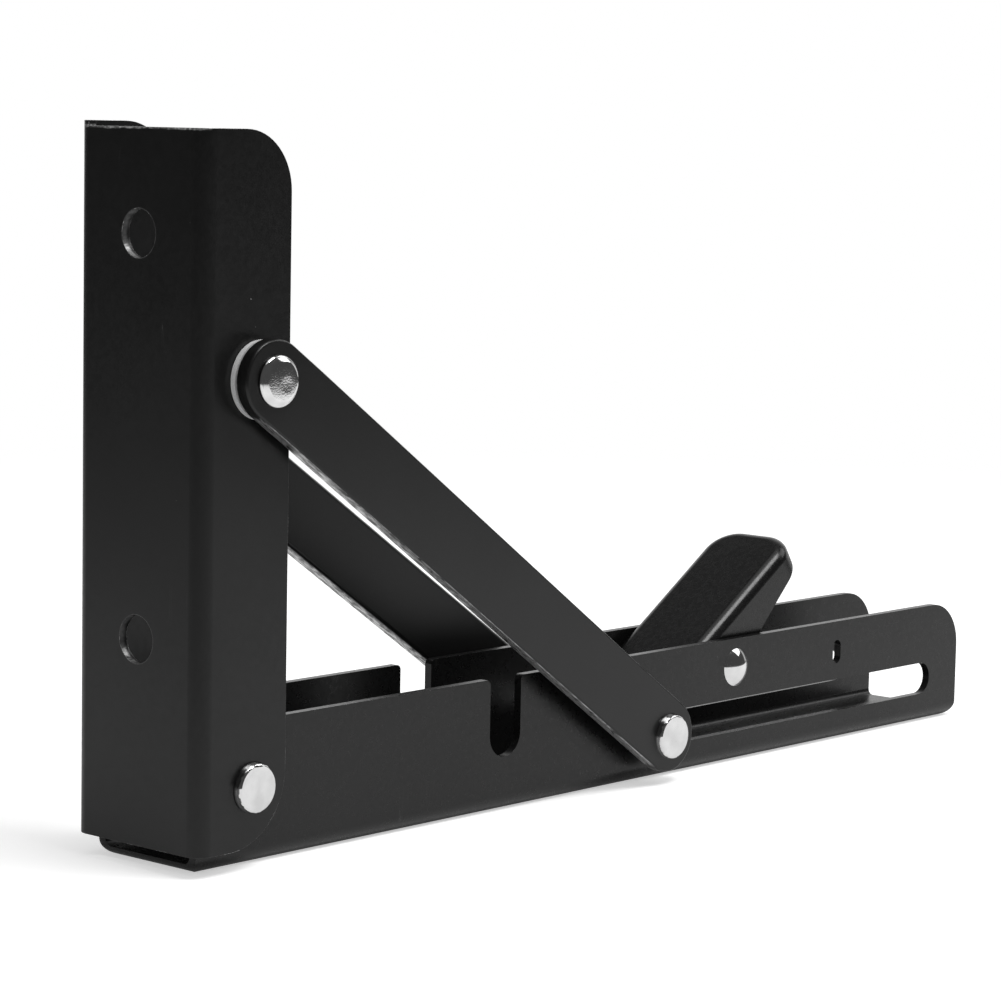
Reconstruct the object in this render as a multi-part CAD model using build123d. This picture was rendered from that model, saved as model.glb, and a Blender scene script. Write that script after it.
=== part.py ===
from build123d import *
import math
import os

# Folding bracket for a drop leaf, locked open at a right angle.
# The arm lies on its back along X, the wall channel stands up along Z, and Y runs across both.
# All sizes are millimetres, measured from the wall face, the leaf face and the middle plane.

# Sheet and overall sizes
SHEET = 1.8
REACH = 254.3
BEND_R = 3.4

# Wall channel
WALL_W = 34.8
WALL_DEPTH = 22.5
WALL_BOTTOM = 4.2
WALL_TOP = 139.2
WALL_FAR_RISE = 1.0
WALL_TOP_R = 11.5
WALL_FOOT_R = 14.4
WALL_HOLES_Z = (43.6, 119.6)
WALL_HOLE_R = 4.6

# Arm channel
ARM_W = 27.2
ARM_H = 27.9
ARM_BACK = 3.1
ARM_TIP_TOP_R = 10.4
ARM_TIP_LOW_R = 3.7
ARM_HEEL_R = 2.8
SLOT_Z = 10.6
SLOT_R = 3.75
SLOT_START = 132.1
SLOT_END = 243.0
NOTCH_X = 89.65
NOTCH_R = 4.7
NOTCH_LOW = 11.35
NOTCH_LIP_R = 1.1
LEAF_HOLES_X = (40.0, 208.0)
LEAF_HOLE_R = 2.6
HOOK_X = 205.0
HOOK_Z = 20.8
HOOK_W = 3.0
HOOK_H = 5.4

# Pivots in the XZ plane
HINGE = (14.0, 16.0)
STRUT_TOP = (14.6, 92.9)
SLIDE = (136.1, SLOT_Z)
LEVER_AXIS = (166.9, 21.4)

# Rivets and washers
PIN_R = 3.0
PIN_GAP = 0.05
HEAD_R = 4.95
HEAD_T = 1.5
HEAD_DRAFT = 0.35
HEAD_EDGE = 0.25
FACE_GAP = 0.12
SPACER_R = 6.5
WASHER_T = 1.1
WASHER_R = 7.5
SLIDE_PIN_R = 3.45
SLIDE_SPACER_R = 5.2
SLIDE_STUD_R = 2.6
LEVER_PIN_R = 2.4
LEVER_HEAD_R = 4.2
LEVER_HEAD_H = 1.7

# Struts, standing closer together at the arm by the set of each one
STRUT_R = 7.8
STRUT_T = 3.5
STRUT_SET = 2.3
STRUT_FLAT = 9.0

# Release lever, in its own frame: along the handle and down from its back
LEVER_TILT = 33.3
LEVER_W = 22.2
LEVER_SHEET = 1.5
LEVER_BACK = 9.5
LEVER_TIP = 35.4
LEVER_BEND_R = 2.6
LEVER_CORNER_R = 7.5
LEVER_TIP_DEPTH = 5.6
LEVER_TIP_R = 3.5
LEVER_DEPTH = 20.0
LEVER_BELLY = ((13.6, 10.4), (9.0, 14.0), (0.5, 14.0))
NOSE_X = 140.6
NOSE_CLEAR = 0.35
NOSE_FLAT_END = 160.9

# Lever spring, of wire drawn with six flats
WIRE_R = 0.55
WIRE_FLATS = 6
WIRE_GAP = 0.1
COIL_R = 3.6
COIL_TURNS = 4.375
COIL_PITCH = 1.3
COIL_START_Y = -8.6
LEG_BEND_X = 188.0
LEG_RISE = 1.0
LIFT_LEG = 17.0

os.makedirs("parts", exist_ok=True)

wall_side = WALL_W / 2
arm_side = ARM_W / 2
strut_in = wall_side + WASHER_T + 2 * FACE_GAP
strut_out = strut_in + STRUT_T
slide_half = strut_in - STRUT_SET - FACE_GAP


def save(shape, name):
    """Put the part in its frame, with the origin below the middle of the whole bracket."""
    export_step(Pos(-REACH / 2, 0, 0) * shape, f"parts/{name}.step")


def side_plate(outline, width):
    """Extrude an outline drawn in the XZ plane to both sides of the middle plane."""
    return extrude(Plane.XZ * outline, amount=width / 2, both=True)


def cross_rod(point, radius, y_from, y_to):
    """A round rod along Y, between two Y values."""
    length = y_to - y_from
    place = Pos(point[0], (y_from + y_to) / 2, point[1]) * Rot(90, 0, 0)
    return place * Cylinder(radius, length)


def ring(point, outer, inner, y_from, y_to):
    """A flat washer or sleeve along Y."""
    return cross_rod(point, outer, y_from, y_to) - cross_rod(point, inner, y_from - 1, y_to + 1)


def flat_head(point, radius, y_from, side):
    """A flat rivet head, a little smaller at its face, on the side given by -1 or 1."""
    head = Cone(radius, radius - HEAD_DRAFT, HEAD_T)
    head = chamfer(head.edges().group_by(Axis.Z)[-1], HEAD_EDGE)
    return Pos(point[0], y_from + side * HEAD_T / 2, point[1]) * Rot(-90 * side, 0, 0) * head


def dome_head(point, radius, height, y_from, side):
    """A low domed rivet head: part of a ball cut off by the face that it sits on."""
    ball_r = (radius ** 2 + height ** 2) / (2 * height)
    ball = Pos(point[0], y_from - side * (ball_r - height), point[1]) * Sphere(ball_r)
    y_to = y_from + side * (height + 1)
    keep = cross_rod(point, radius + 1, min(y_from, y_to), max(y_from, y_to))
    return ball & keep


def folded_section(width, depth, sheet, bend_r):
    """The section of a folded channel, with its back on the X axis and its flanges towards +Y."""
    outer = Pos(0, depth / 2) * Rectangle(width, depth)
    outer = fillet(outer.vertices().group_by(Axis.Y)[0], bend_r)
    inner = Pos(0, sheet + depth / 2) * Rectangle(width - 2 * sheet, depth)
    inner = fillet(inner.vertices().group_by(Axis.Y)[0], bend_r - sheet)
    return outer - inner


def wall_outline(top):
    """The side of the wall channel, rounded at the top and at the foot."""
    outline = Pos(WALL_DEPTH / 2, (WALL_BOTTOM + top) / 2) * Rectangle(WALL_DEPTH, top - WALL_BOTTOM)
    corners = outline.vertices().group_by(Axis.X)[-1].sort_by(Axis.Y)
    outline = fillet(corners[-1], WALL_TOP_R)
    corners = outline.vertices().group_by(Axis.Y)[0].sort_by(Axis.X)
    return fillet(corners[-1], WALL_FOOT_R)


def wall_channel():
    """The folded channel that is screwed to the wall, cut a little higher at its far flange."""
    highest = WALL_TOP + WALL_FAR_RISE
    section = folded_section(WALL_W, WALL_DEPTH, SHEET, BEND_R)
    above = Plane((0, 0, highest), x_dir=(0, 1, 0), z_dir=(0, 0, -1))
    blank = extrude(above * section, amount=highest - WALL_BOTTOM)
    body = blank & side_plate(wall_outline(WALL_TOP), 2 * WALL_W)
    far_zone = Pos(0, wall_side - BEND_R + WALL_W, 0) * side_plate(wall_outline(highest), 2 * WALL_W)
    body += blank & far_zone
    for z in WALL_HOLES_Z:
        body -= Pos(0, 0, z) * Rot(0, 90, 0) * Cylinder(WALL_HOLE_R, 4 * SHEET)
    for pivot in (HINGE, STRUT_TOP):
        body -= cross_rod(pivot, PIN_R + PIN_GAP, -WALL_W, WALL_W)
    return body


def arm_outline():
    """The side of the arm: rounded back about the hinge, notched top and a rounded tip."""
    back_r = HINGE[0] - ARM_BACK
    with BuildSketch() as side:
        with BuildLine():
            start = (ARM_BACK + ARM_HEEL_R, 0)
            low_tip = Line(start, (REACH - ARM_TIP_LOW_R, 0))
            tip = TangentArc(low_tip @ 1, (REACH, ARM_TIP_LOW_R), tangent=(1, 0))
            end = Line(tip @ 1, (REACH, ARM_H - ARM_TIP_TOP_R))
            top_tip = TangentArc(end @ 1, (REACH - ARM_TIP_TOP_R, ARM_H), tangent=(0, 1))
            top = Line(top_tip @ 1, (HINGE[0], ARM_H))
            back = TangentArc(top @ 1, (ARM_BACK, ARM_H - back_r), tangent=(-1, 0))
            down = Line(back @ 1, (ARM_BACK, ARM_HEEL_R))
            TangentArc(down @ 1, start, tangent=(0, -1))
        make_face()
    outline = side.sketch
    centre_z = NOTCH_LOW + NOTCH_R
    slit = Pos(NOTCH_X, (centre_z + ARM_H) / 2) * Rectangle(2 * NOTCH_R, ARM_H - centre_z)
    outline -= slit + Pos(NOTCH_X, centre_z) * Circle(NOTCH_R)
    lips = [v for v in outline.vertices() if abs(v.Y - ARM_H) < 0.01
            and abs(abs(v.X - NOTCH_X) - NOTCH_R) < 0.01]
    return fillet(lips, NOTCH_LIP_R)


def arm_channel():
    section = folded_section(ARM_W, ARM_H, SHEET, BEND_R)
    body = extrude(Plane.YZ * section, amount=REACH)
    body &= side_plate(arm_outline(), 2 * ARM_W)
    slot = Pos((SLOT_START + SLOT_END) / 2, SLOT_Z) * SlotOverall(SLOT_END - SLOT_START, 2 * SLOT_R)
    body -= side_plate(slot, 2 * ARM_W)
    for x in LEAF_HOLES_X:
        body -= Pos(x, 0, 0) * Cylinder(LEAF_HOLE_R, 4 * SHEET)
    body -= cross_rod(HINGE, PIN_R + PIN_GAP, -ARM_W, ARM_W)
    body -= cross_rod(LEVER_AXIS, LEVER_PIN_R + PIN_GAP, -ARM_W, ARM_W)
    hook = Pos(HOOK_X, HOOK_Z) * SlotOverall(HOOK_H, HOOK_W, rotation=90)
    body -= Pos(0, -arm_side, 0) * side_plate(hook, 4 * SHEET)
    return body


def strut(side):
    """One flat bar with round ends, set inwards at the arm, on the side given by -1 or 1."""
    dx = SLIDE[0] - STRUT_TOP[0]
    dz = SLIDE[1] - STRUT_TOP[1]
    length = math.hypot(dx, dz)
    beyond = length + 2 * STRUT_R
    line = [(-2 * STRUT_R, strut_in), (STRUT_FLAT, strut_in),
            (length - STRUT_FLAT, strut_in - STRUT_SET), (beyond, strut_in - STRUT_SET)]
    inner = [(along, -side * y) for along, y in line]
    outer = [(along, -side * (y + STRUT_T)) for along, y in reversed(line)]
    plan = Plane((STRUT_TOP[0], 0, STRUT_TOP[1]), x_dir=(dx, 0, dz), z_dir=(dz, 0, -dx))
    bent = extrude(plan * make_face(Polyline(inner + outer, close=True)), amount=2 * STRUT_R, both=True)
    middle = ((SLIDE[0] + STRUT_TOP[0]) / 2, (SLIDE[1] + STRUT_TOP[1]) / 2)
    bar = SlotCenterToCenter(length, 2 * STRUT_R)
    bar = Pos(*middle) * Rot(0, 0, math.degrees(math.atan2(dz, dx))) * bar
    bar -= Pos(*STRUT_TOP) * Circle(PIN_R + PIN_GAP)
    bar -= Pos(*SLIDE) * Circle(SLIDE_STUD_R)
    return bent & side_plate(bar, 4 * strut_out)


def through_rivet(point, half, near_domed):
    """A rivet across the bracket with a head on each side."""
    rivet = cross_rod(point, PIN_R, -half - 0.5, half + 0.5)
    if near_domed:
        near = dome_head(point, HEAD_R, HEAD_T, -half, -1)
    else:
        near = flat_head(point, HEAD_R, -half, -1)
    return rivet + near + flat_head(point, HEAD_R, half, 1)


def slide_stud(side):
    """The headed end of the slide pin, riveted into one strut."""
    inner = side * (strut_in - STRUT_SET)
    outer = side * (strut_out - STRUT_SET)
    stud = cross_rod(SLIDE, SLIDE_STUD_R, min(inner, outer), max(inner, outer))
    return stud + flat_head(SLIDE, HEAD_R, outer, side)


def lever_point(along, down):
    """A point of the lever, from its distance along the handle and down from its back."""
    tilt = math.radians(LEVER_TILT)
    depth = down - LEVER_BACK
    x = LEVER_AXIS[0] + along * math.cos(tilt) + depth * math.sin(tilt)
    z = LEVER_AXIS[1] + along * math.sin(tilt) - depth * math.cos(tilt)
    return (x, z)


def lever_block(inset):
    """The form of the lever in its own frame, round at the tip and smaller on all sides by the inset."""
    length = 3 * LEVER_TIP
    plan = Pos(LEVER_TIP - inset - length / 2, 0) * Rectangle(length, LEVER_W - 2 * inset)
    plan = fillet(plan.vertices().group_by(Axis.X)[-1], LEVER_CORNER_R - inset)
    block = extrude(Pos(0, 0, -LEVER_DEPTH) * plan, amount=LEVER_DEPTH - inset)
    rim = block.edges().group_by(Axis.Z)[-1].sort_by(Axis.X)[1:]
    return fillet(rim, LEVER_BEND_R - inset)


def release_lever():
    """A pressed channel with its back up, a closed round handle and a nose over the slide pin."""
    shell = lever_block(0) - lever_block(LEVER_SHEET)
    body = Pos(LEVER_AXIS[0], 0, LEVER_AXIS[1]) * Rot(0, -LEVER_TILT, 0) * Pos(0, 0, LEVER_BACK) * shell
    path_top = SLOT_Z + SLIDE_PIN_R + NOSE_CLEAR
    back_start = (NOSE_X - lever_point(0, 0)[0]) / math.cos(math.radians(LEVER_TILT)) + 1.2
    over_back = -1.0
    beyond_tip = LEVER_TIP + 1.0
    points = [
        lever_point(back_start, over_back),
        lever_point(beyond_tip, over_back),
        lever_point(beyond_tip, LEVER_TIP_DEPTH),
        *[lever_point(along, down) for along, down in LEVER_BELLY],
        (NOSE_FLAT_END, path_top),
        (NOSE_X, path_top),
    ]
    outline = make_face(Polyline(points, close=True))
    outline = fillet(outline.vertices().sort_by(Axis.X)[-1], LEVER_TIP_R)
    body &= side_plate(outline, 2 * LEVER_W)
    body -= cross_rod(LEVER_AXIS, LEVER_PIN_R + PIN_GAP, -LEVER_W, LEVER_W)
    return body


def lever_rivet():
    half = arm_side
    rivet = cross_rod(LEVER_AXIS, LEVER_PIN_R, -half - 0.5, half + 0.5)
    near = dome_head(LEVER_AXIS, LEVER_HEAD_R, LEVER_HEAD_H, -half, -1)
    far = dome_head(LEVER_AXIS, LEVER_HEAD_R, LEVER_HEAD_H, half, 1)
    return rivet + near + far


def wire_run(points, across):
    """Straight runs of spring wire with sharp bends, its section set by a direction across them."""
    start = Vector(*points[0])
    run = Vector(*points[1]) - start
    section = Plane(start, x_dir=across, z_dir=run) * RegularPolygon(WIRE_R, WIRE_FLATS)
    return sweep(section, path=Polyline(points), transition=Transition.RIGHT)


def lever_spring():
    """A torsion spring on the lever rivet: one leg hooks into the arm, one lifts the handle."""
    helix = Helix(COIL_PITCH, COIL_TURNS * COIL_PITCH, COIL_R)
    section = Plane(helix @ 0, z_dir=helix % 0) * RegularPolygon(WIRE_R, WIRE_FLATS)
    coil = sweep(section, path=helix, is_frenet=True)
    x, z = LEVER_AXIS
    coil = Pos(x, COIL_START_Y, z) * Rot(-90, 0, 0) * Rot(0, 0, 90) * coil
    hook_z = HOOK_Z - WIRE_R
    fixed_leg = wire_run([
        (x - 2 * WIRE_R, COIL_START_Y, z - COIL_R),
        (LEG_BEND_X, COIL_START_Y, z - COIL_R + LEG_RISE),
        (HOOK_X, -arm_side + SHEET + WIRE_R + WIRE_GAP, hook_z),
        (HOOK_X, -arm_side - WIRE_R, hook_z),
    ], (0, 1, 0))
    leave = math.radians(135)
    high_y = COIL_START_Y + COIL_TURNS * COIL_PITCH
    rest_x, rest_z = lever_point(LIFT_LEG, LEVER_SHEET + WIRE_R + WIRE_GAP)
    coil_end = Vector(x + COIL_R * math.cos(leave), high_y, z + COIL_R * math.sin(leave))
    run = Vector(rest_x, high_y, rest_z) - coil_end
    overlap = run.normalized() * 2 * WIRE_R
    upright = (-run.Z, 0, run.X)
    lift_leg = wire_run([tuple(coil_end - overlap), tuple(coil_end + run)], upright)
    return coil + fixed_leg + lift_leg


def main():
    save(lever_spring(), "lever_spring")
    save(wall_channel(), "wall_channel")
    save(arm_channel(), "arm_channel")
    save(release_lever(), "release_lever")
    save(lever_rivet(), "lever_rivet")
    save(through_rivet(HINGE, wall_side + FACE_GAP, False), "hinge_rivet")
    save(through_rivet(STRUT_TOP, strut_out + FACE_GAP, True), "strut_pivot_rivet")
    save(cross_rod(SLIDE, SLIDE_PIN_R, -slide_half, slide_half), "slide_pin")
    for name, side in (("near", -1), ("far", 1)):
        save(strut(side), f"{name}_strut")
        save(slide_stud(side), f"{name}_slide_stud")
        low, high = sorted((side * (wall_side + FACE_GAP), side * (strut_in - FACE_GAP)))
        save(ring(STRUT_TOP, WASHER_R, PIN_R + PIN_GAP, low, high), f"{name}_strut_washer")
        low, high = sorted((side * (arm_side + FACE_GAP), side * (wall_side - SHEET)))
        save(ring(HINGE, SPACER_R, PIN_R + PIN_GAP, low, high), f"{name}_hinge_washer")
        low, high = sorted((side * (arm_side + 2 * FACE_GAP), side * slide_half))
        save(ring(SLIDE, SLIDE_SPACER_R, SLIDE_PIN_R, low, high), f"{name}_slide_spacer")


main()
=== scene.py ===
import math

import bmesh
import bpy
from mathutils import Matrix, Vector, noise


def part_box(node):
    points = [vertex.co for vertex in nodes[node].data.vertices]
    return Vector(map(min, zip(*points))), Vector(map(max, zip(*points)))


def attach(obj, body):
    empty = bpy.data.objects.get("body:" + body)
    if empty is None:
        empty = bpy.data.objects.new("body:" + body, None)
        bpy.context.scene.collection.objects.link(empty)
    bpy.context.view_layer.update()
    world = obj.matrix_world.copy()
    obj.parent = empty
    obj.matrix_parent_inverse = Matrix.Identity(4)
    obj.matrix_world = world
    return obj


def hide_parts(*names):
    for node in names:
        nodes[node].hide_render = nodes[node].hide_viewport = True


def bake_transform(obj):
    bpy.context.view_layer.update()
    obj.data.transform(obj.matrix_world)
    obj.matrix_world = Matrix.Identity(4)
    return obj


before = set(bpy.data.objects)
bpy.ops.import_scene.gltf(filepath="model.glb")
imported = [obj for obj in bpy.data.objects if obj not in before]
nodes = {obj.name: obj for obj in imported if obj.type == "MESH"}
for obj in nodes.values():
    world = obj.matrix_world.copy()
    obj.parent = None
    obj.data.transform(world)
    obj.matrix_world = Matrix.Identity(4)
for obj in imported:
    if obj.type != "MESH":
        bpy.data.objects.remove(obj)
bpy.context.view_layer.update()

# Sizes in metres, in the frame of the part
MM = 0.001
WALL_X = -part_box("arm_channel")[1].x
SHEET = 1.8 * MM
ROUND_STEPS = 96

WALL_RISE = 1.0 * MM
WEB_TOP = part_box("wall_channel")[1].z - WALL_RISE
CUT_DEPTH = 0.5 * MM
CUT_LINE = WEB_TOP - CUT_DEPTH * 0.2
HOLE_R = 4.6 * MM
HOLE_RISES = (43.6 * MM, 119.6 * MM)

STRUT_TOP = Vector((WALL_X + 14.6 * MM, 92.9 * MM))
SLIDE = Vector((WALL_X + 136.1 * MM, 10.6 * MM))
STRUT_LENGTH = (SLIDE - STRUT_TOP).length
STRUT_AHEAD = (SLIDE - STRUT_TOP).normalized()
STRUT_R = 7.8 * MM
STRUT_T = 3.5 * MM
STRUT_SET = 2.3 * MM
STRUT_FLAT = 9.0 * MM
STRUT_LIP = 0.9 * MM
STRUT_ROLL = 0.55 * MM
STRUT_EDGE = 0.5 * MM

PIN_R = 3.0 * MM
HEAD_R = 4.95 * MM
HEAD_T = 1.5 * MM
HEAD_ROUND = 0.6 * MM
HEAD_SEAT = 0.12 * MM
FACE_SHARE = 0.8
FACE_CROWN = 0.16 * MM
FACE_STEPS = 8
BACK_ROUND = 0.35 * MM
HEAD_FACE_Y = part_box("strut_pivot_rivet")[0].y
PEEN_CENTRE = (STRUT_TOP.x, HEAD_FACE_Y, STRUT_TOP.y)
PEEN_DIMPLE = (STRUT_TOP.x + 0.9 * MM, HEAD_FACE_Y, STRUT_TOP.y - 0.6 * MM)

LEVER_AXIS = Vector((WALL_X + 166.9 * MM, 21.4 * MM))
LEVER_SHEET = 1.5 * MM
LEVER_BACK = 9.5 * MM
LEVER_TILT = math.radians(33.3)

WIRE_R = 0.55 * MM
WIRE_GAP = 0.1 * MM
WIRE_SIDES = 10
COIL_R = 3.6 * MM
COIL_TURNS = 4.375
COIL_PITCH = 1.3 * MM
COIL_START_Y = -8.6 * MM
COIL_STEPS = 28
LEG_BEND_X = WALL_X + 188.0 * MM
LEG_BEND_RISE = 1.0 * MM
HOOK = Vector((WALL_X + 205.0 * MM, 20.8 * MM))
LIFT_LEG = 17.0 * MM
BEND_RADIUS = 1.2 * MM
BEND_STEPS = 6


# Shader helpers
class Tree:
    """A node tree, cleared, and short calls for the nodes in it."""

    def __init__(self, tree):
        self.tree = tree
        self.tree.nodes.clear()
        coords = self.add("ShaderNodeTexCoord")
        self.object = coords.outputs["Object"]
        self.normal = coords.outputs["Normal"]
        self.generated = coords.outputs["Generated"]

    def add(self, kind):
        return self.tree.nodes.new(kind)

    def link(self, output, socket):
        self.tree.links.new(output, socket)

    def feed(self, socket, value):
        """Set a socket to a number, or link it to another socket."""
        if isinstance(value, (int, float)):
            socket.default_value = value
        else:
            self.link(value, socket)

    def calc(self, kind, a, b=0.0):
        node = self.add("ShaderNodeMath")
        node.operation = kind
        self.feed(node.inputs[0], a)
        self.feed(node.inputs[1], b)
        return node.outputs[0]

    def product(self, value, *factors):
        for factor in factors:
            value = self.calc("MULTIPLY", value, factor)
        return value

    def lighten(self, value, mask, tone):
        """Add a tone to a grey where a mask is set."""
        return self.calc("ADD", value, self.calc("MULTIPLY", mask, tone))

    def stretch(self, vector, scale, turn=(0, 0, 0)):
        node = self.add("ShaderNodeMapping")
        node.inputs["Scale"].default_value = scale
        node.inputs["Rotation"].default_value = turn
        self.link(vector, node.inputs["Vector"])
        return node.outputs[0]

    def noise(self, scale, detail, vector=None, distortion=0.0):
        node = self.add("ShaderNodeTexNoise")
        node.inputs["Scale"].default_value = scale
        node.inputs["Detail"].default_value = detail
        node.inputs["Distortion"].default_value = distortion
        self.link(vector or self.object, node.inputs["Vector"])
        return node.outputs["Fac"]

    def cells(self, scale):
        """Distance to the nearest cell centre, and a random value for that cell."""
        node = self.add("ShaderNodeTexVoronoi")
        node.inputs["Scale"].default_value = scale
        self.link(self.object, node.inputs["Vector"])
        split = self.add("ShaderNodeSeparateColor")
        self.link(node.outputs["Color"], split.inputs[0])
        return node.outputs["Distance"], split.outputs[0]

    def ramp(self, value, low, high, low_out=0.0, high_out=1.0):
        """Map a value from one range to another, smoothly and without leaving it."""
        node = self.add("ShaderNodeMapRange")
        node.interpolation_type = "SMOOTHSTEP"
        self.feed(node.inputs["Value"], value)
        node.inputs["From Min"].default_value = low
        node.inputs["From Max"].default_value = high
        node.inputs["To Min"].default_value = low_out
        node.inputs["To Max"].default_value = high_out
        return node.outputs[0]

    def vary(self, value, low_out, high_out):
        """Spread a noise, most of which lies near its middle, over a range of values."""
        return self.ramp(value, 0.3, 0.7, low_out, high_out)

    def axis(self, vector, letter):
        node = self.add("ShaderNodeSeparateXYZ")
        self.link(vector, node.inputs[0])
        return node.outputs[letter]

    def distance(self, point):
        node = self.add("ShaderNodeVectorMath")
        node.operation = "DISTANCE"
        self.link(self.object, node.inputs[0])
        node.inputs[1].default_value = point
        return node.outputs["Value"]

    def dot(self, vector, direction):
        node = self.add("ShaderNodeVectorMath")
        node.operation = "DOT_PRODUCT"
        self.link(vector, node.inputs[0])
        node.inputs[1].default_value = direction
        return node.outputs["Value"]

    def along(self, point, direction):
        """Distance from a point along a direction, both in the frame of the object."""
        return self.calc("SUBTRACT", self.dot(self.object, direction), point.dot(direction))

    def join(self, x, y):
        node = self.add("ShaderNodeCombineXYZ")
        self.feed(node.inputs[0], x)
        self.feed(node.inputs[1], y)
        return node.outputs[0]

    def blend(self, fac, a, b):
        """Mix two greys, each a number or a socket."""
        node = self.add("ShaderNodeMix")
        node.data_type = "FLOAT"
        self.feed(node.inputs["Factor"], fac)
        self.feed(node.inputs["A"], a)
        self.feed(node.inputs["B"], b)
        return node.outputs[0]


class Shader(Tree):
    """A material with one surface shader, whose inputs start as plain greys."""

    def __init__(self, name, tone, metallic, roughness, specular):
        self.material = bpy.data.materials.new(name)
        self.material.use_nodes = True
        super().__init__(self.material.node_tree)
        self.bsdf = self.add("ShaderNodeBsdfPrincipled")
        self.output = self.add("ShaderNodeOutputMaterial")
        self.link(self.bsdf.outputs[0], self.output.inputs[0])
        self.bsdf.inputs["Base Color"].default_value = (tone, tone, tone, 1)
        self.bsdf.inputs["Metallic"].default_value = metallic
        self.bsdf.inputs["Roughness"].default_value = roughness
        self.bsdf.inputs["Specular IOR Level"].default_value = specular

    def put(self, name, value):
        self.link(value, self.bsdf.inputs[name])

    def bump(self, heights):
        """Chain bumps, each a height socket with its depth in metres."""
        last = None
        for height, depth in heights:
            node = self.add("ShaderNodeBump")
            node.inputs["Strength"].default_value = 1.0
            node.inputs["Distance"].default_value = depth
            self.link(height, node.inputs["Height"])
            if last:
                self.link(last, node.inputs["Normal"])
            last = node.outputs[0]
        self.put("Normal", last)


# Looks that several finishes share. Scales are features per metre, tones are greys from 0 to 1
BLACK = 0.006
SCRATCH_TONE = 0.03
DUST_TONE = 0.32
STRUT_DUST_TONE = 0.2
RIM_TONE = 0.16
BORE_TONE = 0.42
BORE_ROUGHNESS = 0.35
DRIFT_SCALE = 26
GRAIN_SCALE = 5200
SKIN_SCALE = 700
FINE_SKIN_SCALE = 2600
LINE_SCALE = 1500
FINE_DUST = (150, 0.14 * MM)
COARSE_DUST = (60, 0.24 * MM)
COARSE_SHARE = 0.4
DUST_HEIGHT = 0.04 * MM


def grains(s, scale, radius, share):
    """Round grains at cell centres, of which only a share is kept."""
    near, pick = s.cells(scale)
    grain = s.ramp(near, radius * scale, radius * scale * 0.45)
    return s.product(grain, s.ramp(pick, 1 - share, 1 - share + 0.02))


def dust_specks(s, share):
    """Fine grains of dust, with fewer and larger ones among them."""
    fine = grains(s, *FINE_DUST, share)
    return s.calc("MAXIMUM", fine, grains(s, *COARSE_DUST, share * COARSE_SHARE))


def scratches(s):
    """Short fine scratches: the narrow middle band of a stretched noise, broken up by another."""
    band = s.noise(420, 1.0, s.stretch(s.object, (1.0, 1.0, 0.06), (0.3, 0.9, 0.2)))
    line = s.ramp(s.calc("ABSOLUTE", s.calc("SUBTRACT", band, 0.5)), 0.004, 0.0)
    return s.product(line, s.ramp(s.noise(70, 1.0), 0.66, 0.72))


def coat_tone(s, tone, grain):
    """The tone of a coat, which drifts slowly over a face and is finely grained."""
    drift = s.vary(s.noise(DRIFT_SCALE, 3.0), 0.75, 1.25)
    return s.product(drift, tone, s.vary(s.noise(GRAIN_SCALE, 1.0), 1 - grain, 1 + grain))


def coat_skin(s, depth, fine_depth, dust):
    """The relief of a coat: a soft skin, a finer one, and the dust that lies on it."""
    soft = (s.noise(SKIN_SCALE, 2.0), depth)
    return [soft, (s.noise(FINE_SKIN_SCALE, 2.0), fine_depth), (dust, DUST_HEIGHT)]


def bare_and_glinting_bore(s, rise):
    """How bare the wall of a screw hole is, kept to where it faces up as a painted highlight of
    the light from above, and how light its rim is.
    """
    away = s.distance((WALL_X, 0.0, rise))
    inside = s.ramp(away, HOLE_R * 1.04, HOLE_R * 1.01)
    streak = s.noise(LINE_SCALE, 3.0, s.stretch(s.object, (0.25, 1.0, 1.0)))
    # Painted highlight: bare metal only on the bore walls that face the light from above
    up_facing_glint = s.ramp(s.axis(s.normal, "Z"), 0.1, 0.6)
    bare_share = s.product(inside, s.ramp(s.product(streak, up_facing_glint), 0.35, 0.5))
    rim = s.product(s.ramp(away, HOLE_R * 1.05, HOLE_R), s.noise(900, 3.0))
    return bare_share, rim


def ragged_cut(s):
    """How bare the sheared top of the wall channel's web is, in a band with a ragged edge."""
    height = s.axis(s.object, "Z")
    ragged = s.product(s.noise(420, 4.0), CUT_DEPTH * 1.3)
    band = s.ramp(s.calc("ADD", height, ragged), CUT_LINE - 0.05 * MM, CUT_LINE + 0.25 * MM)
    patchy = s.ramp(s.noise(95, 3.0), 0.35, 0.6, 0.3, 1.0)
    on_web = s.ramp(s.axis(s.object, "X"), WALL_X + 2.4 * MM, WALL_X + 1.9 * MM)
    under_top = s.ramp(height, WEB_TOP + 0.4 * MM, WEB_TOP + 0.1 * MM)
    return s.product(band, patchy, on_web, under_top)


# Finishes
def paint(name, tone, roughness, specular, dust=0.3, skin=0.45, bare_cuts=False):
    """A satin coat with fine skin, tonal drift, dust and scratches, and bare cuts where asked,
    whose bare hole walls are kept to where they face up as a painted highlight.
    """
    s = Shader(name, tone, 0.0, roughness, specular)
    specks = dust_specks(s, dust)
    base = s.lighten(coat_tone(s, tone, 0.1), scratches(s), SCRATCH_TONE)
    base = s.lighten(base, specks, DUST_TONE)
    rough = s.ramp(s.noise(900, 3.0), 0.25, 0.75, roughness - 0.04, roughness + 0.04)
    if bare_cuts:
        (low_bore, low_rim), (high_bore, high_rim) = [bare_and_glinting_bore(s, rise) for rise in HOLE_RISES]
        base = s.lighten(s.lighten(base, low_rim, RIM_TONE), high_rim, RIM_TONE)
        base = s.blend(ragged_cut(s), base, s.ramp(s.noise(1300, 3.0), 0.35, 0.7, 0.12, 0.55))
        # Bare metal of the hole walls, partly real and partly a painted highlight where they face
        # up
        bore_metal_and_glint = s.calc("MAXIMUM", low_bore, high_bore)
        base = s.blend(bore_metal_and_glint, base, BORE_TONE)
        rough = s.blend(bore_metal_and_glint, rough, BORE_ROUGHNESS)
        s.put("Metallic", bore_metal_and_glint)
    s.put("Base Color", base)
    s.put("Roughness", rough)
    s.bump(coat_skin(s, 7e-6 * skin, 3e-6 * skin, specks))
    return s.material


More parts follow.
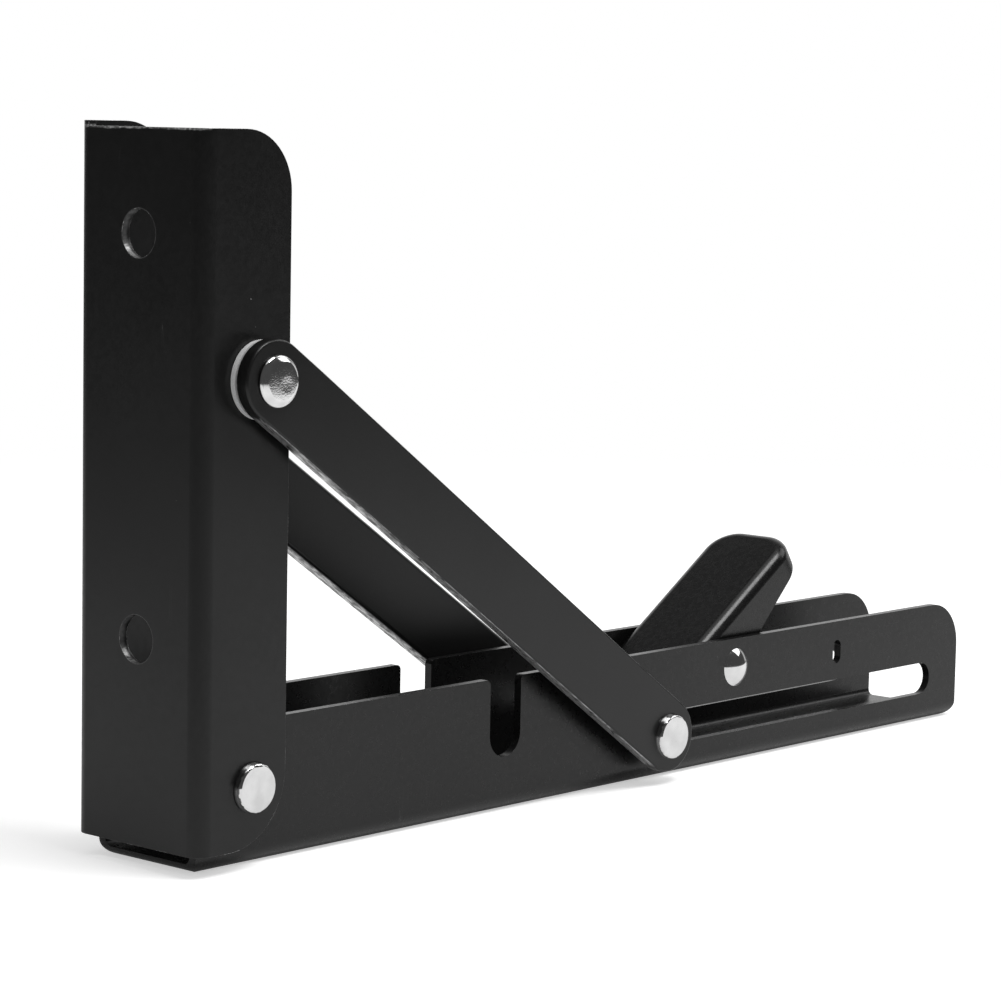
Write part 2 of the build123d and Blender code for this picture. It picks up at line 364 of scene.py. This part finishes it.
def chipped_and_glinting_edge(name, tone, bare_share, top_glint_share):
    """A sheared edge: paint drawn thin over it and worn through in an irregular line, more where
    it faces up, which is a painted glint of the light from above.
    """
    s = Shader(name, tone, 0.0, 0.3, 0.5)
    wide = s.noise(160, 4.0)
    fine = s.noise(LINE_SCALE, 3.0)
    wear = s.calc("ADD", s.product(wide, 0.6), s.product(fine, 0.4))
    # Painted glint: up-facing edges wear through more, standing in for the light from above
    up_facing_glint = s.ramp(s.axis(s.normal, "Z"), 0.2, 0.8, 0.0, top_glint_share)
    worn = s.ramp(s.calc("ADD", wear, up_facing_glint), 0.62 - bare_share, 0.68 - bare_share)
    s.put("Base Color", s.blend(worn, tone, s.vary(fine, 0.3, 0.62)))
    s.put("Metallic", s.product(worn, 0.85))
    s.put("Roughness", s.blend(worn, 0.28, s.vary(fine, 0.3, 0.5)))
    s.bump([(fine, 2e-5)])
    return s.material


def strut_finish(name, bare_share):
    """A satin coat, with the sheared long sides of the bar left streaked and mostly bare."""
    roughness, end_fade = 0.32, 2.5 * MM
    s = Shader(name, BLACK, 0.0, roughness, 0.38)
    start = Vector((STRUT_TOP.x, 0.0, STRUT_TOP.y))
    run = s.along(start, Vector((STRUT_AHEAD.x, 0.0, STRUT_AHEAD.y)))
    past_top = s.ramp(run, 0.0, end_fade)
    before_slide = s.ramp(run, STRUT_LENGTH, STRUT_LENGTH - end_fade)
    sheared = s.ramp(s.calc("ABSOLUTE", s.axis(s.normal, "Y")), 0.7, 0.45)
    spot = s.join(run, s.axis(s.object, "Y"))
    streak = s.noise(1150, 4.0, s.stretch(spot, (0.3, 1.0, 1.0), (0, 0, 0.3)), 0.5)
    patch = s.noise(330, 2.0, s.stretch(spot, (0.25, 1.0, 1.0)))
    wear = s.calc("ADD", s.product(streak, 0.62), s.product(patch, 0.38))
    worn = s.ramp(wear, 0.56 - bare_share, 0.62 - bare_share)
    worn = s.product(worn, s.product(past_top, before_slide, sheared))
    specks = dust_specks(s, 0.25)
    coat = s.lighten(coat_tone(s, BLACK, 0.2), specks, STRUT_DUST_TONE)
    s.put("Base Color", s.blend(worn, coat, s.vary(streak, 0.2, 0.7)))
    s.put("Metallic", s.product(worn, 0.9))
    s.put("Roughness", s.blend(worn, roughness, s.vary(streak, 0.55, 0.32)))
    s.bump(coat_skin(s, 5e-6, 2e-6, specks) + [(s.product(streak, worn), 1.5e-5)])
    return s.material


def plated(name, tone, hammered=False):
    """Nickel plate with fine lines and a slight mottle, and hammer marks on a peened head."""
    roughness, mottle = 0.09, 1e-5
    s = Shader(name, tone, 1.0, roughness, 0.5)
    cloud = s.noise(240, 3.0)
    pits = s.noise(2400, 2.0)
    hair = s.noise(900, 2.0, s.stretch(s.object, (1.0, 1.0, 0.08), (0.2, 0.5, 0)))
    s.put("Base Color", s.product(s.vary(cloud, 0.9, 1.06), tone))
    s.put("Roughness", s.vary(pits, roughness * 0.75, roughness * 1.35))
    relief = [(cloud, mottle), (pits, mottle * 0.12), (hair, mottle * 0.08)]
    if hammered:
        worked = s.ramp(s.distance(PEEN_CENTRE), 0.95 * HEAD_R, 0.5 * HEAD_R)
        dimple = s.ramp(s.distance(PEEN_DIMPLE), 0.05 * HEAD_R, 0.4 * HEAD_R)
        relief += [(s.product(s.noise(2900, 3.0), worked), 3e-5), (dimple, 5e-5)]
    s.bump(relief)
    return s.material


def plain_steel(name, tone, roughness):
    """Dull bright steel with faint rolling lines and stains."""
    s = Shader(name, tone, 1.0, roughness, 0.5)
    lines = s.noise(1300, 3.0, s.stretch(s.object, (1.0, 0.1, 1.0)))
    stain = s.vary(s.noise(180, 4.0), 0.75, 1.1)
    s.put("Base Color", s.product(stain, tone, s.vary(lines, 0.85, 1.1)))
    s.put("Roughness", s.vary(lines, roughness - 0.08, roughness + 0.1))
    s.bump([(lines, 1.2e-5), (s.noise(FINE_SKIN_SCALE, 2.0), 5e-6)])
    return s.material


wall_black = paint("wall_powder_coat", BLACK, roughness=0.33, specular=0.37, bare_cuts=True)
arm_black = paint("arm_powder_coat", 0.0055, roughness=0.3, specular=0.36, dust=0.4)
lever_black = paint("lever_gloss_coat", BLACK, roughness=0.26, specular=0.4, dust=0.15, skin=0.1)
washer_zinc = paint("washer_zinc", 0.6, roughness=0.6, specular=0.4, dust=0.0)
near_strut_coat = strut_finish("near_strut_coat", bare_share=0.18)
far_strut_coat = strut_finish("far_strut_coat", bare_share=0.2)
# Edge finishes: worn sheared edges, with a painted glint where they face up
edge = chipped_and_glinting_edge("chipped_glinting_paint_edge", BLACK, bare_share=0.02, top_glint_share=0.16)
bright_edge = chipped_and_glinting_edge("bright_glinting_sheared_edge", 0.03, bare_share=0.09, top_glint_share=0.26)
nickel = plated("nickel_plate", 0.78)
peened = plated("peened_nickel", 0.8, hammered=True)
bare = plain_steel("bare_pin_steel", 0.5, roughness=0.3)
wire_steel = plain_steel("spring_wire_steel", 0.42, roughness=0.28)


# Mesh helpers
def add_object(name, data):
    thing = bpy.data.objects.new(name, data)
    bpy.context.scene.collection.objects.link(thing)
    return thing


def add_mesh(name, bm, material):
    mesh = bpy.data.meshes.new(name)
    bm.to_mesh(mesh)
    bm.free()
    mesh.materials.append(material)
    return add_object(name, mesh)


def add_piece(name, bm, material, replaced):
    """Make a piece of the assembly that stands for a node of the part."""
    bmesh.ops.recalc_face_normals(bm, faces=bm.faces)
    piece = add_mesh(name, bm, material)
    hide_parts(replaced)
    return piece


def add_bevel(piece, width, steps, material=-1):
    """Round the sharp edges, in the material of their faces or in another one of the piece."""
    bevel = piece.modifiers.new("edge_break", "BEVEL")
    bevel.width = width
    bevel.segments = steps
    bevel.limit_method = "ANGLE"
    bevel.angle_limit = math.radians(38)
    bevel.material = material
    bevel.miter_outer = "MITER_ARC"
    shade = piece.modifiers.new("face_normals", "WEIGHTED_NORMAL")
    shade.weight = 80
    shade.keep_sharp = False


def lathe(bm, centre, profile, wobble):
    """Turn a profile of (radius, y) points about an axis along Y through a centre (x, z)."""
    rings = []
    for radius, y in profile:
        if radius == 0:
            rings.append([bm.verts.new((centre.x, y, centre.y))])
            continue
        ring = []
        for i in range(ROUND_STEPS):
            turn = 2 * math.pi * i / ROUND_STEPS
            place = Vector((math.cos(turn), math.sin(turn), y * 300))
            r = radius * (1 + wobble * noise.noise(place * 1.7))
            x, z = centre.x + r * math.cos(turn), centre.y + r * math.sin(turn)
            ring.append(bm.verts.new((x, y, z)))
        rings.append(ring)
    for low, high in zip(rings, rings[1:]):
        for i in range(ROUND_STEPS):
            j = (i + 1) % ROUND_STEPS
            if len(low) == 1:
                corners = (low[0], high[i], high[j])
            elif len(high) == 1:
                corners = (low[i], high[0], low[j])
            else:
                corners = (low[i], high[i], high[j], low[j])
            bm.faces.new(corners).smooth = True


def arc(centre_r, centre_y, radius, start, end, steps):
    """Points of an arc in the (radius, y) plane, angles in degrees from the outward direction."""
    points = []
    for i in range(steps + 1):
        turn = math.radians(start + (end - start) * i / steps)
        points.append((centre_r + radius * math.cos(turn), centre_y + radius * math.sin(turn)))
    return points


# The folded channels, the lever and the flat rivet heads keep their solids, with broken edges
def dress(node, material, rim, width):
    piece = nodes[node]
    piece.data.materials.clear()
    piece.data.materials.append(material)
    piece.data.materials.append(rim)
    weld = piece.modifiers.new("join_faces", "WELD")
    weld.merge_threshold = 0.002 * MM
    add_bevel(piece, width, 2, 1)


dress("wall_channel", wall_black, bright_edge, width=0.25 * MM)
dress("arm_channel", arm_black, bright_edge, width=0.22 * MM)
dress("release_lever", lever_black, edge, width=0.25 * MM)
for node in ("hinge_rivet", "near_slide_stud", "far_slide_stud"):
    dress(node, nickel, nickel, width=0.08 * MM)

# The other small parts only take a finish
for material, small_parts in (
    (nickel, ("lever_rivet",)),
    (bare, ("slide_pin", "near_slide_spacer", "far_slide_spacer")),
    (washer_zinc, ("near_hinge_washer", "far_hinge_washer")),
    (washer_zinc, ("near_strut_washer", "far_strut_washer")),
):
    for node in small_parts:
        nodes[node].data.materials.clear()
        nodes[node].data.materials.append(material)


# Struts: bars with round ends and well rounded corners, slanting inwards between their ends
def build_strut(name, side, coat):
    across = Vector((-STRUT_AHEAD.y, STRUT_AHEAD.x))
    outer_y = abs(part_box(name)[0 if side < 0 else 1].y)
    slant_start = STRUT_FLAT
    slant_end = STRUT_LENGTH - STRUT_FLAT
    half_steps = ROUND_STEPS // 2
    bm = bmesh.new()
    made = {}

    def half_round(centre, start):
        turns = [math.radians(start + 180 * i / half_steps) for i in range(half_steps + 1)]
        return [(centre + STRUT_R * math.cos(t), STRUT_R * math.sin(t)) for t in turns]

    def corner(spot, depth):
        """A corner from its distance along and across the bar, and its depth from outside."""
        key = (round(spot[0], 7), round(spot[1], 7), depth)
        if key not in made:
            share = (spot[0] - slant_start) / (slant_end - slant_start)
            inwards = STRUT_SET * min(max(share, 0.0), 1.0)
            shrink = STRUT_ROLL if depth == STRUT_T else 0.0
            middle = min(max(spot[0], 0.0), STRUT_LENGTH)
            from_middle = Vector((spot[0] - middle, spot[1])) * (1 - shrink / STRUT_R)
            forward = (middle + from_middle.x) * STRUT_AHEAD
            place = STRUT_TOP + forward + from_middle.y * across
            made[key] = bm.verts.new((place.x, side * (outer_y - inwards - depth), place.y))
        return made[key]

    low_end = half_round(STRUT_LENGTH, -90)
    top_end = half_round(0.0, 90)
    low_line = [(slant_end, STRUT_R), (slant_end, -STRUT_R)]
    top_line = [(slant_start, -STRUT_R), (slant_start, STRUT_R)]
    slant = [low_line[1], low_line[0], top_line[1], top_line[0]]
    for patch in (low_line + low_end, slant, top_line + top_end):
        for depth in (0.0, STRUT_T):
            bm.faces.new([corner(spot, depth) for spot in patch])
    outline = low_end + [low_line[0], top_line[1]] + top_end + [top_line[0], low_line[1]]
    for a, b in zip(outline, outline[1:] + outline[:1]):
        for near, far in ((0.0, STRUT_T - STRUT_LIP), (STRUT_T - STRUT_LIP, STRUT_T)):
            loop = (corner(a, near), corner(b, near), corner(b, far), corner(a, far))
            bm.faces.new(loop).smooth = True
    piece = add_piece(name + "_bar", bm, coat, name)
    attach(piece, "struts")
    add_bevel(piece, STRUT_EDGE, 3)


build_strut("near_strut", -1, near_strut_coat)
build_strut("far_strut", 1, far_strut_coat)


# The strut pivot rivet: a peened pillow head in front, a low flat head behind
def build_pivot_rivet():
    low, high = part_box("strut_pivot_rivet")
    head_low = low.y + HEAD_T
    head_high = high.y - HEAD_T
    profile = [(0.0, low.y)]
    for i in range(1, FACE_STEPS + 1):
        part = i / FACE_STEPS
        profile.append((HEAD_R * FACE_SHARE * part, low.y + FACE_CROWN * part ** 2))
    profile += arc(HEAD_R - HEAD_ROUND, head_low - HEAD_SEAT, HEAD_ROUND, -80, 0, 14)
    profile += [(HEAD_R - 0.05 * MM, head_low), (PIN_R, head_low), (PIN_R, head_high)]
    profile += [(HEAD_R - 0.1 * MM, head_high)]
    profile += arc(HEAD_R - BACK_ROUND, high.y - BACK_ROUND, BACK_ROUND, 0, 90, 6)
    profile += [(0.0, high.y)]
    bm = bmesh.new()
    lathe(bm, STRUT_TOP, profile, wobble=0.006)
    piece = add_piece("peened_pivot_rivet", bm, peened, "strut_pivot_rivet")
    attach(piece, "wall")


build_pivot_rivet()


# The lever spring: one wire, held by the arm at its hooked leg and by the lever at its other leg
def round_corners(points, radius):
    """A path with each inner corner replaced by a short curve."""
    path = [points[0]]
    for before, corner, after in zip(points, points[1:], points[2:]):
        start = corner + (before - corner).normalized() * radius
        end = corner + (after - corner).normalized() * radius
        for i in range(BEND_STEPS + 1):
            t = i / BEND_STEPS
            path.append(start * (1 - t) ** 2 + corner * (2 * t * (1 - t)) + end * t ** 2)
    path.append(points[-1])
    return path


def tube(bm, path, radius, sides):
    """A round wire along a path, with its rings carried from point to point without twist."""
    across = Vector((0, 1, 0))
    turns = [2 * math.pi * k / sides for k in range(sides)]
    rings = []
    for i, point in enumerate(path):
        ahead = (path[min(i + 1, len(path) - 1)] - path[max(i - 1, 0)]).normalized()
        across = (across - ahead * across.dot(ahead)).normalized()
        other = ahead.cross(across)
        ring = [point + radius * (math.cos(t) * across + math.sin(t) * other) for t in turns]
        rings.append([bm.verts.new(spot) for spot in ring])
    for low, high in zip(rings, rings[1:]):
        for k in range(sides):
            j = (k + 1) % sides
            bm.faces.new((low[k], low[j], high[j], high[k])).smooth = True
    bm.faces.new(rings[0])
    bm.faces.new(rings[-1])


def build_lever_spring():
    axis_x, axis_z = LEVER_AXIS
    near_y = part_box("arm_channel")[0].y
    end_y = COIL_START_Y + COIL_PITCH * COIL_TURNS
    under_coil = axis_z - COIL_R
    hook_z = HOOK.y - WIRE_R
    path = round_corners([
        Vector((HOOK.x, near_y - WIRE_R, hook_z)),
        Vector((HOOK.x, near_y + SHEET + WIRE_R + WIRE_GAP, hook_z)),
        Vector((LEG_BEND_X, COIL_START_Y, under_coil + LEG_BEND_RISE)),
        Vector((axis_x, COIL_START_Y, under_coil)),
    ], BEND_RADIUS)
    for i in range(1, round(COIL_TURNS * COIL_STEPS) + 1):
        turn = i / COIL_STEPS
        angle = 2 * math.pi * turn
        x, z = axis_x - COIL_R * math.sin(angle), axis_z - COIL_R * math.cos(angle)
        path.append(Vector((x, COIL_START_Y + COIL_PITCH * turn, z)))
    depth = LEVER_BACK - LEVER_SHEET - WIRE_R - WIRE_GAP
    tip_x = axis_x + LIFT_LEG * math.cos(LEVER_TILT) - depth * math.sin(LEVER_TILT)
    tip_z = axis_z + LIFT_LEG * math.sin(LEVER_TILT) + depth * math.cos(LEVER_TILT)
    path.append(Vector((tip_x, end_y, tip_z)))
    bm = bmesh.new()
    tube(bm, path, WIRE_R, WIRE_SIDES)
    wire = add_piece("lever_spring_wire", bm, wire_steel, "lever_spring")
    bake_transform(wire)


build_lever_spring()


# Studio
BEHIND = Vector((0.75, 0.66, 0))
DARK_STUDIO = 0.06
WORLD_LEVEL = 0.45
FLOOR_HALF = 6.0
FLOOR_DROP = 0.02 * MM
FLOOR_TONE = 0.8
FLOOR_GLOW = 0.5
MIRRORED_SHARE = 0.2


def studio_floor():
    """A pale floor that keeps the shadow near the object and is plain white far from it."""
    bm = bmesh.new()
    bmesh.ops.create_grid(bm, x_segments=1, y_segments=1, size=FLOOR_HALF)
    s = Shader("pale_floor", FLOOR_TONE, 0.0, 1.0, 0.0)
    floor = add_mesh("floor", bm, s.material)
    floor.location = (0, 0, -FLOOR_DROP)
    path = s.add("ShaderNodeLightPath")
    seen, mirrored = path.outputs["Is Camera Ray"], path.outputs["Is Glossy Ray"]
    far = s.ramp(s.distance((0.0, 0.0, 0.0)), 0.3, 0.7)
    away = s.ramp(s.distance((0.14, 0.12, 0.0)), 0.25, 1.0, 1.0, DARK_STUDIO)
    near_share = s.calc("MAXIMUM", seen, s.product(mirrored, MIRRORED_SHARE))
    far_level = s.blend(mirrored, s.blend(seen, FLOOR_TONE, 1.0), away)
    glow = s.add("ShaderNodeEmission")
    s.feed(glow.inputs["Strength"], s.blend(far, s.product(near_share, FLOOR_GLOW), far_level))
    s.put("Base Color", s.blend(far, FLOOR_TONE, 0.0))
    both = s.add("ShaderNodeAddShader")
    s.link(s.bsdf.outputs[0], both.inputs[0])
    s.link(glow.outputs[0], both.inputs[1])
    s.link(both.outputs[0], s.output.inputs[0])


def studio_world():
    """White behind the object and overhead, as seen and as mirrored, and dark at the front."""
    world = bpy.data.worlds.new("studio")
    bpy.context.scene.world = world
    world.use_nodes = True
    s = Tree(world.node_tree)
    path = s.add("ShaderNodeLightPath")
    overhead = s.ramp(s.axis(s.generated, "Z"), 0.9, 0.97)
    behind = s.ramp(s.dot(s.generated, BEHIND), 0.5, 0.85)
    mirrored = s.calc("MAXIMUM", s.calc("MAXIMUM", overhead, behind), DARK_STUDIO)
    level = s.blend(path.outputs["Is Glossy Ray"], WORLD_LEVEL, mirrored)
    seen = s.calc("MAXIMUM", path.outputs["Is Camera Ray"], path.outputs["Is Transmission Ray"])
    back = s.add("ShaderNodeBackground")
    s.feed(back.inputs["Strength"], s.calc("MAXIMUM", level, seen))
    back.inputs["Color"].default_value = (1, 1, 1, 1)
    s.link(back.outputs[0], s.add("ShaderNodeOutputWorld").inputs[0])


def softbox(name, place, target, size, power):
    light = bpy.data.lights.new(name, "AREA")
    light.shape = "SQUARE"
    light.size = size
    light.energy = power
    lamp = add_object(name, light)
    lamp.location = place
    lamp.rotation_euler = (Vector(target) - Vector(place)).to_track_quat("-Z", "Y").to_euler()


studio_floor()
studio_world()
softbox("top_box", place=(0.1, -0.5, 1.2), target=(0, 0, 0), size=0.55, power=9)
softbox("right_box", place=(1.0, -0.5, 1.0), target=(0.03, 0, 0.05), size=0.8, power=4)


# Camera, fitted to the photograph
YAW, PITCH, ROLL = 0.8439, -0.1149, 0.0192
FOCAL_PX, WIDTH_PX = 3314.3, 1001
SENSOR = 36.0
CAMERA_PLACE = (-0.5411941, -0.4590546, 0.1420414)


def photo_camera():
    level = math.cos(PITCH)
    ahead = Vector((level * math.sin(YAW), level * math.cos(YAW), math.sin(PITCH)))
    right = Vector((math.cos(YAW), -math.sin(YAW), 0))
    up = right.cross(ahead)
    rolled_right = math.cos(ROLL) * right + math.sin(ROLL) * up
    rolled_up = -math.sin(ROLL) * right + math.cos(ROLL) * up
    data = bpy.data.cameras.new("photo_camera")
    data.sensor_width = SENSOR
    data.lens = FOCAL_PX / WIDTH_PX * SENSOR
    camera = add_object("photo_camera", data)
    turn = Matrix((rolled_right, rolled_up, -ahead)).transposed().to_4x4()
    camera.matrix_world = Matrix.Translation(CAMERA_PLACE) @ turn
    bpy.context.scene.camera = camera


photo_camera()
bpy.context.scene.view_settings.view_transform = "Standard"
